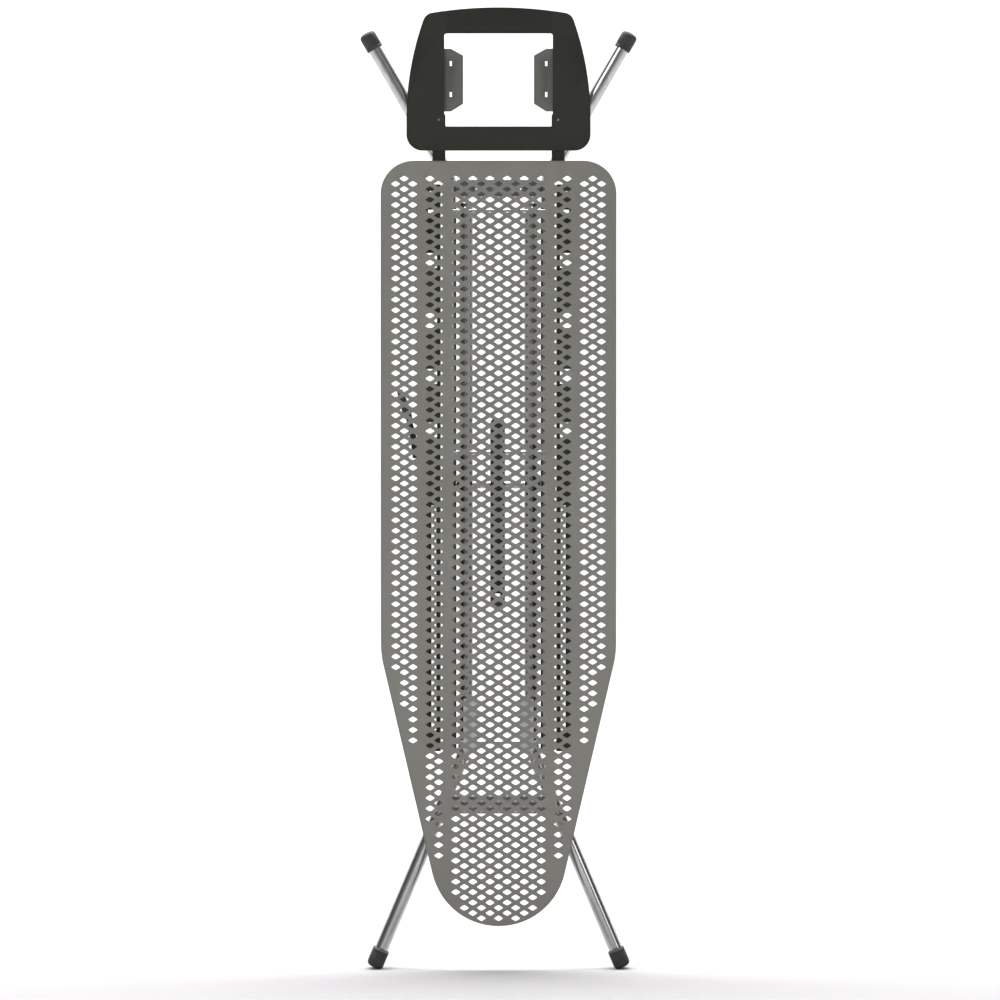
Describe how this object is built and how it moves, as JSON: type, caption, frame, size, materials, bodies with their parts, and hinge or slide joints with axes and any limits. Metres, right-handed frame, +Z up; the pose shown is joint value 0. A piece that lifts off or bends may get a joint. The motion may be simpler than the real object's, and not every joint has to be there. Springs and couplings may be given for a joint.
{
  "type": "ironing board",
  "caption": "Folding ironing board with a perforated metal top, an iron rest, crossed tube legs on a sliding rod and a height lever.",
  "frame": {"origin": "centre of the overall box at the level of the front feet, on which the folded board stands", "axes": "folded and standing on its nose end: +Z up towards the iron rest, +X to the right seen from the ironing face, -Y out of the ironing face"},
  "size_m": [0.4494, 0.0494, 1.5595],
  "materials": {
    "top_paint": "satin",
    "black_paint": "satin",
    "tab_paint": "satin",
    "tube_steel": "satin",
    "bright_steel": "polished",
    "zinc_steel": "satin",
    "foot_rubber": "matt",
    "black_plastic": "matt"
  },
  "bodies": {
    "board": {"board_sheet": "top_paint", "board_rim": "top_paint", "rear_channel": "top_paint", "iron_rest": "black_paint", "centre_strap": "black_paint", "hinge_rod": "bright_steel", "lever_spring": "bright_steel", "rail_left": "black_paint", "rail_right": "black_paint", "rest_arm_left": "black_paint", "rest_arm_right": "black_paint", "rest_screw_lower_left": "bright_steel", "rest_screw_lower_right": "bright_steel", "rest_screw_upper_left": "bright_steel", "rest_screw_upper_right": "bright_steel", "rest_tab_left": "tab_paint", "rest_tab_right": "tab_paint", "hinge_bracket_left": "zinc_steel", "hinge_bracket_right": "zinc_steel"},
    "height_lever": {"lever_shaft": "bright_steel", "lever_arm": "black_paint", "lever_grip": "black_plastic", "shaft_collar_left": "bright_steel", "shaft_collar_right": "bright_steel"},
    "rear_legs": {"rear_brace": "tube_steel", "pivot_axle": "bright_steel", "rear_leg_left": "tube_steel", "rear_leg_right": "tube_steel", "rear_foot_left": "foot_rubber", "rear_foot_right": "foot_rubber", "rear_plug_left": "black_plastic", "rear_plug_right": "black_plastic", "rear_ear_left": "tube_steel", "rear_ear_right": "tube_steel", "pivot_bush_left": "black_plastic", "pivot_bush_right": "black_plastic", "axle_cap_left": "black_plastic", "axle_cap_right": "black_plastic"},
    "front_legs": {"front_brace": "tube_steel", "front_leg_left": "tube_steel", "front_leg_right": "tube_steel", "front_foot_left": "foot_rubber", "front_foot_right": "foot_rubber", "front_plug_left": "black_plastic", "front_plug_right": "black_plastic", "front_ear_left": "tube_steel", "front_ear_right": "tube_steel"},
    "slider": {"slider_rod": "bright_steel", "slider_shoe_left": "black_plastic", "slider_shoe_right": "black_plastic"}
  },
  "joints": [
    {"name": "fold", "type": "hinge", "parent": "board", "child": "rear_legs", "pos_m": [0, -0.00675, 0.3683], "axis": [-1, 0, 0], "range_deg": [0, 53.8]},
    {"name": "leg_pivot", "type": "hinge", "parent": "rear_legs", "child": "front_legs", "pos_m": [0, 0.01125, 0.7857], "axis": [1, 0, 0], "range_deg": [0, 103.19]},
    {"name": "slider_swivel", "type": "hinge", "parent": "front_legs", "child": "slider", "pos_m": [0, -0.00675, 1.2304], "axis": [-1, 0, 0], "range_deg": [0, 49.39]},
    {"name": "height_release", "type": "hinge", "parent": "board", "child": "height_lever", "pos_m": [0, -0.01475, 0.8392], "axis": [1, 0, 0], "range_deg": [0, 9], "stiffness_Nm_per_rad": 0.25, "springref_deg": -20.05}
  ],
  "couplings": [
    {"joint": "leg_pivot", "follows": "fold", "ratio": 1.918},
    {"joint": "slider_swivel", "follows": "fold", "ratio": 0.918}
  ]
}
